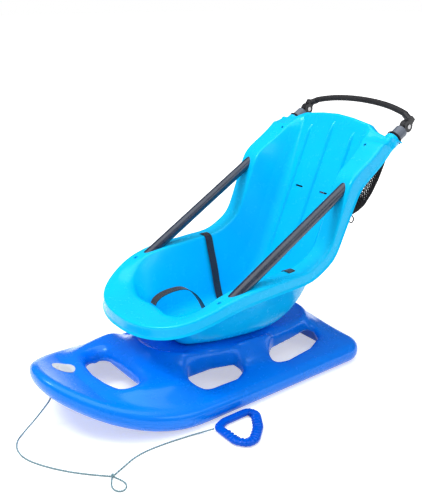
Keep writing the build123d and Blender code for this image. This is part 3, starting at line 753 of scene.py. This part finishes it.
def hull_mesh():
    """Upper and lower sheet over the plan, joined at the edge."""
    ys = [NOSE_Y + 60 * (1 - math.cos(t)) for t in np.linspace(0.08, math.pi / 2, 16)]
    ys += list(np.linspace(-505, 330, 186))
    ys += [REAR_Y - 32 * (1 - math.sin(t)) for t in np.linspace(0.2, math.pi / 2, 12)]
    us = 1 - (1 - np.linspace(0, 1, 62)) ** 1.45
    # The rear's straight run has one Y, so it is left out of the width's table
    order = np.argsort(half_outline[:, 1], kind="stable")[:-REAR_POINTS]
    rows = []
    for y in ys:
        w = float(np.interp(y, half_outline[order, 1], half_outline[order, 0]))
        if y >= REAR_Y - 0.1:
            w = float(HALF_WIDE - REAR_R)
        rows.append([(w * u, y) for u in us])
    flat = np.array([p for row in rows for p in row])
    upper, lower = hull_levels(flat)
    n = len(us)
    verts, index = [], {}

    def vert(side, sheet, r, c):
        if c == 0:
            side = 1
        edge = c == n - 1 or r == 0 or r == len(rows) - 1
        if edge:
            sheet = 0
        key = (side, sheet, r, c)
        if key not in index:
            x, y = rows[r][c]
            z = (upper if sheet == 0 else lower)[r * n + c]
            if edge:
                z = (upper[r * n + c] + lower[r * n + c]) / 2
            index[key] = len(verts)
            verts.append((side * x * MM, y * MM, z * MM))
        return index[key]

    faces = []
    for side in (1, -1):
        for sheet in (0, 1):
            for r in range(len(rows) - 1):
                for c in range(n - 1):
                    quad = [vert(side, sheet, *rc) for rc in ((r, c), (r, c + 1), (r + 1, c + 1), (r + 1, c))]
                    faces.append(quad if side * (1 if sheet == 0 else -1) > 0 else quad[::-1])
    return verts, faces


def cutter(outlines, low, high):
    """Upright prisms over closed outlines."""
    verts, faces = [], []
    for line in outlines:
        start, n = len(verts), len(line)
        verts += [(x * MM, y * MM, low * MM) for x, y in line]
        verts += [(x * MM, y * MM, high * MM) for x, y in line]
        faces += [[start + i, start + (i + 1) % n, start + n + (i + 1) % n, start + n + i] for i in range(n)]
        faces += [[start + i for i in reversed(range(n))], [start + n + i for i in range(n)]]
    ob = new_mesh("cutter", verts, faces, hull_mat)
    face_outwards(ob)
    return ob


hull = new_mesh("hull_moulding", *hull_mesh(), hull_mat)
cut(hull, cutter([front_hole, *side_holes], -60, 260), "EXACT")
remesh = hull.modifiers.new("remesh", "REMESH")
remesh.mode, remesh.voxel_size = "VOXEL", 0.0037
smooth = hull.modifiers.new("smooth", "SMOOTH")
smooth.factor, smooth.iterations = 0.5, 12
apply_all(hull)
shade(hull)
wear(hull, hull_mat)
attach(hull, "sled")
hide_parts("hull")


# Straps: ribbons with a little thickness, U along and V across in metres
STRAP_W, STRAP_T = 24, 1.8


def smooth_path(points, steps=12):
    """Points along a smooth curve through the given ones, with steps from each to the next."""
    pts = [np.array(p, float) for p in points]
    pts = [2 * pts[0] - pts[1], *pts, 2 * pts[-1] - pts[-2]]
    out = []
    for a, b, c, d in zip(pts, pts[1:], pts[2:], pts[3:]):
        for t in np.linspace(0, 1, steps, endpoint=False):
            out.append(0.5 * (2 * b + (c - a) * t + (2 * a - 5 * b + 4 * c - d) * t ** 2
                              + (3 * b - a - 3 * c + d) * t ** 3))
    return np.array(out + [pts[-2]])


def ribbon(name, path, across, replaced):
    """A strap along a path. across is its width's direction."""
    verts, uvs, run = [], [], 0.0
    cols = 6
    for i, p in enumerate(path):
        side = np.array(across, float)
        ahead = path[min(i + 1, len(path) - 1)] - path[max(i - 1, 0)]
        side = side - ahead * (side @ ahead) / (ahead @ ahead)
        side = side / np.linalg.norm(side)
        up = np.cross(ahead, side)
        up = up / np.linalg.norm(up)
        run += np.linalg.norm(p - path[max(i - 1, 0)])
        for c in range(cols):
            v = c / (cols - 1) - 0.5
            verts.append((p + side * v * STRAP_W + up * 0.5 * (1 - 4 * v * v)) * MM)
            uvs.append((run * MM, v * STRAP_W * MM))
    ob = new_mesh(name, verts, strip(len(path), cols), strap_mat)
    layer = ob.data.uv_layers.new(name="UVMap")
    for corner in ob.data.loops:
        layer.data[corner.index].uv = uvs[corner.vertex_index]
    m = ob.modifiers.new("thick", "SOLIDIFY")
    m.thickness, m.offset = STRAP_T * MM, 0.0
    apply_all(ob)
    shade(ob, 40)
    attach(ob, "sled")
    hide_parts(replaced)


def waist_path(side):
    """From the outer face of the rim over it, down the wall and to the buckle."""
    level = pan(90) + 1.6
    return smooth_path([(side * 205, 90, 318), (side * 203, 90, 326), (side * 197, 90, 329.6),
                        (side * 182, 90, 329), (side * 171, 90, 321), (side * 156, 88, 284),
                        (side * 137, 87, 232), (side * 125, 88, 180), (side * 108, 89, level + 13),
                        (side * 86, 90, level + 1), (side * 58, 90, level), (side * 29, 90, level)])


crotch = smooth_path([(0, -223, 247), (0, -216, 258), (0, -196, 268), (0, -160, 272.5), (0, -124, 268),
                      (0, -92, 246), (0, -66, 210), (0, -50, 172), (0, -45, 143)])
ribbon("crotch_webbing", crotch, (1, 0, 0), "crotch_strap")
for side, name in ((-1, "right"), (1, "left")):
    ribbon(f"waist_webbing_{name}", waist_path(side), (0, 1, 0), f"waist_strap_{name}")


# Net bag behind the back: diamond mesh of cord, gathered below with a drawstring's loop
BAG_TOP, BAG_DROP = 639, 207
BAG_V = (0, 0.1, 0.3, 0.56, 0.75, 0.9, 0.97, 1)
BAG_BULGE = (52, 66, 74, 73, 68, 56, 34, 8)
NET_CORD = 0.0044


def bag_point(u, v):
    """The bag's outer side. u goes across from -1 to 1, v down from 0 to 1."""
    z = BAG_TOP - BAG_DROP * v
    bulge = float(np.interp(v, BAG_V, BAG_BULGE))
    slump = 4 * math.sin(9 * u + 2.1 * v) * math.sin(math.pi * v)
    width = 170 * (1 - 0.04 * v ** 3)
    flat = min(1.0, abs(u) / 0.80)
    deep = math.cos(math.pi / 2 * max(0.0, abs(u) - 0.74) / 0.26) ** 0.7
    x = math.copysign(width * (1 - (1 - flat) ** 1.15), u)
    return (x, back_y(z) + 7 + (bulge + slump) * deep, z + 3 * math.cos(5 * u) * v)


def lining_point(u, v):
    """The bag's inner side, flat behind the back."""
    z = BAG_TOP - BAG_DROP * v
    return (164 * (1 - 0.06 * v ** 3) * u, back_y(z) + 8.5, z)


def net(cells_u, cells_v, place):
    """Diamond cells over a surface."""
    verts, faces, index = [], [], {}

    def vert(i, j):
        if (i, j) not in index:
            index[i, j] = len(verts)
            verts.append([c * MM for c in place(2 * i / cells_u - 1, j / cells_v)])
        return index[i, j]

    for j in range(1, cells_v):
        for i in range(1 + j % 2, cells_u, 2):
            faces.append((vert(i, j - 1), vert(i + 1, j), vert(i, j + 1), vert(i - 1, j)))
    return verts, faces


for name, cells_u, place in (("net_bag_mesh", 104, bag_point), ("net_lining", 84, lining_point)):
    bag = new_mesh(name, *net(cells_u, 50, place), net_mat)
    m = bag.modifiers.new("cords", "WIREFRAME")
    m.thickness, m.use_even_offset, m.use_boundary = NET_CORD, False, True
    apply_all(bag)
    shade(bag)
    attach(bag, "sled")
    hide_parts("net_bag")


def tube_along(name, path, radius, material, sides):
    """Round section along a path. radius is a number, or a function of the share of the way."""
    path = [np.array(p, float) for p in path]
    verts = []
    side = None
    for i, p in enumerate(path):
        ahead = path[min(i + 1, len(path) - 1)] - path[max(i - 1, 0)]
        ahead = ahead / np.linalg.norm(ahead)
        if side is None:
            side = np.cross(ahead, (0.3, 0.5, 0.81))
        side = side - ahead * (side @ ahead)
        side = side / np.linalg.norm(side)
        up = np.cross(ahead, side)
        size = radius(i / (len(path) - 1)) if callable(radius) else radius
        for k in range(sides):
            t = 2 * math.pi * k / sides
            verts.append((p + size * (side * math.cos(t) + up * math.sin(t))) * MM)
    faces = strip(len(path), sides, True)
    faces += [tuple(reversed(range(sides))), tuple(range(len(verts) - sides, len(verts)))]
    return new_mesh(name, verts, faces, material)


def bag_hems():
    """Corded edges of the bag, and the drawstring's loop at its lower corner."""
    across, down = np.linspace(-1, 1, 30), np.linspace(0, 1, 20)
    edges = [[bag_point(u, 0.0) for u in across], [bag_point(u, 1.0) for u in across],
             [bag_point(-1, v) for v in down], [bag_point(1, v) for v in down]]
    result = [tube_along(f"net_hem_{i}", smooth_path(edge, 3), 2.2, net_mat, 10)
              for i, edge in enumerate(edges)]
    low = np.array(bag_point(0.8, 1.0))
    pull = smooth_path([low, low + (2, 6, -2), low + (4, 12, -12), low + (3, 8, -22), low + (0, 0, -20),
                        low + (-3, -3, -8), low + (-2, -1, 0)], 8)
    return result + [tube_along("net_pull", pull, 1.8, net_mat, 10)]


for ob in bag_hems():
    shade(ob)
    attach(ob, "sled")


# Push bar and its foam grip, bent in one even sweep. HALF_BAR gives X and the reach from the hubs
HUB = np.array((0, 512.19, 672.22))
BAR_TILT = math.radians(52)
HALF_BAR = [(198, 23), (191, 31), (174, 38), (146, 46), (108, 54), (56, 60)]
BAR_REACH, BAR_R, FOAM_R, FOAM_HALF = 62, 6.5, 9.0, 181


def foam_size(t):
    """The foam's radius, drawn in at its ends and a little uneven."""
    end = min(t, 1 - t) * 60
    return FOAM_R * (1 - 0.12 * max(0.0, 1 - end) ** 2) + 0.18 * math.sin(t * 260)


outward = np.array((0, math.cos(BAR_TILT), math.sin(BAR_TILT)))
bar_line = [(-x, o) for x, o in HALF_BAR] + [(0, BAR_REACH)] + [(x, o) for x, o in reversed(HALF_BAR)]
bar_path = smooth_path([HUB + np.array((x, 0, 0)) + outward * o for x, o in bar_line], 14)
bar = tube_along("push_bar_sweep", bar_path, BAR_R, tube_mat, 24)
grip = tube_along("bar_grip_foam", [p for p in bar_path if abs(p[0]) < FOAM_HALF], foam_size, foam_mat, 28)
for ob, name, slot_name in ((bar, "push_bar", "tube_charcoal"), (grip, "bar_grip", "foam_black")):
    shade(ob, 60)
    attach(ob, "push_handle")
    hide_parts(name)


# Tow handle: rounded triangle with a broad oval section and grip ribs along its outer corner
HANDLE = [(270, -228), (255, -190), (255, -104), (290, -88), (345, -124), (384, -170), (384, -204),
          (352, -228)]
N_ROUND, N_SIDE = 260, 24
HALF_W, HALF_T, HANDLE_Z = 11.5, 7.9, 9.0
RIDGES, RIDGE_H = 36, 2.2


def handle_rim():
    """Evenly spaced points round the handle's outer edge."""
    line = soft_polygon(HANDLE, 40)
    line = line[[i for i in range(len(line)) if np.linalg.norm(line[i] - line[i - 1]) > 0.5]]
    marks = np.concatenate([[0], np.cumsum(np.linalg.norm(np.roll(line, -1, 0) - line, axis=1))])
    closed = np.vstack([line, line[:1]])
    along = np.linspace(0, marks[-1], N_ROUND, endpoint=False)
    return np.stack([np.interp(along, marks, closed[:, k]) for k in (0, 1)], 1)


def handle_mesh():
    """Sections round the handle's middle line, with ridges where the hand grips it."""
    rim = handle_rim()
    ahead = np.roll(rim, -1, 0) - np.roll(rim, 1, 0)
    inward = np.stack([-ahead[:, 1], ahead[:, 0]], 1) / np.linalg.norm(ahead, axis=1)[:, None]
    if ((rim.mean(0) - rim) * inward).sum() < 0:
        inward = -inward
    middle = rim + inward * HALF_W
    for _ in range(12):
        middle = (np.roll(middle, 1, 0) + 2 * middle + np.roll(middle, -1, 0)) / 4
    verts, faces = [], []
    for i, (x, y) in enumerate(rim):
        gripped = x + 0.6 * (y + 228) > 330 or (y < -195 and x > 300)
        ridge = RIDGE_H * max(0.0, math.sin(2 * math.pi * i / N_ROUND * RIDGES)) if gripped else 0.0
        for k in range(N_SIDE):
            t = 2 * math.pi * k / N_SIDE
            c, s = math.cos(t), math.sin(t)
            flat_w = math.copysign(abs(c) ** 0.8, c)
            flat_t = math.copysign(abs(s) ** 0.8, s)
            p = middle[i] + inward[i] * (flat_w * (HALF_W + ridge * 2.2 * max(0.0, c)))
            verts.append((p[0] * MM, p[1] * MM, (HANDLE_Z + flat_t * (HALF_T - 0.9 + 0.6 * ridge)) * MM))
            j, l = (i + 1) % N_ROUND, (k + 1) % N_SIDE
            faces.append((i * N_SIDE + k, i * N_SIDE + l, j * N_SIDE + l, j * N_SIDE + k))
    return verts, faces


pull_handle = new_mesh("tow_handle_grip", *handle_mesh(), handle_mat)
face_outwards(pull_handle)
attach(pull_handle, "sled")
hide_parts("tow_handle")


# Bare round sticker on the nose, laid on the hull
DISC_X, DISC_Y, DISC_R = -55, -468, 29.5


def disc_mesh(rings=8, around=48):
    """Rings of points dropped on the hull, just above its surface."""
    tree = BVHTree.FromPolygons([v.co for v in hull.data.vertices],
                                [tuple(f.vertices) for f in hull.data.polygons])
    verts, faces = [], []
    for r in range(rings + 1):
        for k in range(around):
            x = DISC_X + DISC_R * r / rings * math.cos(2 * math.pi * k / around)
            y = DISC_Y + DISC_R * r / rings * math.sin(2 * math.pi * k / around)
            hit = tree.ray_cast(Vector((x * MM, y * MM, 0.4)), Vector((0, 0, -1)))[0]
            verts.append((x * MM, y * MM, hit.z + 0.0007))
    for r in range(rings):
        for k in range(around):
            faces.append((r * around + k, (r + 1) * around + k, (r + 1) * around + (k + 1) % around,
                          r * around + (k + 1) % around))
    return verts, faces


disc = new_mesh("sticker_disc", *disc_mesh(), disc_mat)
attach(disc, "sled")


# Floor, lights and world
def path_share(m, *outputs):
    """1 for rays of these kinds."""
    path = m.node("ShaderNodeLightPath")
    total = (path, outputs[0])
    for name in outputs[1:]:
        both = m.node("ShaderNodeMath", operation="MAXIMUM")
        m.link(total[0], total[1], both, 0)
        m.link(path, name, both, 1)
        total = (both, "Value")
    return total


def floor_paper():
    """Pale paper that the camera and reflections see as white, more so away from the sled."""
    m = Mat("floor_paper")
    m.put(Base_Color=(0.86, 0.87, 0.88, 1), Roughness=0.95, Specular_IOR_Level=0.0)
    seen = path_share(m, "Is Camera Ray", "Is Glossy Ray", "Is Transmission Ray")
    away = m.node("ShaderNodeVectorMath", operation="LENGTH")
    m.link(m.coords("Object"), "Vector", away, "Vector")
    level = m.node("ShaderNodeMapRange", in_From_Min=0.8, in_From_Max=3.0, in_To_Min=0.48, in_To_Max=0.95)
    m.link(away, "Value", level, "Value")
    glow = m.node("ShaderNodeMath", operation="MULTIPLY")
    m.link(seen[0], seen[1], glow, 0)
    m.link(level, "Result", glow, 1)
    m.put(Emission_Color=(1, 1, 1, 1))
    m.link(glow, "Value", m.bsdf, "Emission Strength")
    return m.mat


floor_mesh = bpy.data.meshes.new("floor")
floor_mesh.from_pydata([(-30, -30, 0), (30, -30, 0), (30, 30, 0), (-30, 30, 0)], [], [(0, 1, 2, 3)])
floor = bpy.data.objects.new("floor", floor_mesh)
scene.collection.objects.link(floor)
floor.data.materials.append(floor_paper())

# World strength: LIT on surfaces, LIT + SEEN for the camera, LIT - DULL in reflections
LIT, SEEN, DULL = 0.6, 0.4, 0.52
world = bpy.data.worlds.new("world")
scene.world = world
world.use_nodes = True
nodes, links = world.node_tree.nodes, world.node_tree.links
back = nodes["Background"]
back.inputs["Color"].default_value = (1.0, 1.0, 1.0, 1)
path = nodes.new("ShaderNodeLightPath")
seen = nodes.new("ShaderNodeMath")
seen.operation = "MULTIPLY_ADD"
seen.inputs[1].default_value, seen.inputs[2].default_value = SEEN, LIT
links.new(path.outputs["Is Camera Ray"], seen.inputs[0])
dull = nodes.new("ShaderNodeMath")
dull.operation = "MULTIPLY_ADD"
dull.inputs[1].default_value = -DULL
links.new(path.outputs["Is Glossy Ray"], dull.inputs[0])
links.new(seen.outputs["Value"], dull.inputs[2])
links.new(dull.outputs["Value"], back.inputs["Strength"])


def lamp(name, place, target, size, power):
    light = bpy.data.lights.new(name, "AREA")
    light.shape, light.size, light.energy = "DISK", size, power
    ob = bpy.data.objects.new(name, light)
    ob.location = place
    ob.rotation_euler = (Vector(target) - Vector(place)).to_track_quat("-Z", "Y").to_euler()
    scene.collection.objects.link(ob)


lamp("ceiling", (0.1, -0.3, 3.0), (0, 0, 0), 3.6, 62)
lamp("key", (-0.7, -1.8, 2.6), (0, -0.1, 0.2), 0.9, 34)
lamp("side", (2.4, 0.9, 1.8), (0, 0, 0.3), 1.2, 9)
scene.view_settings.view_transform = "Standard"
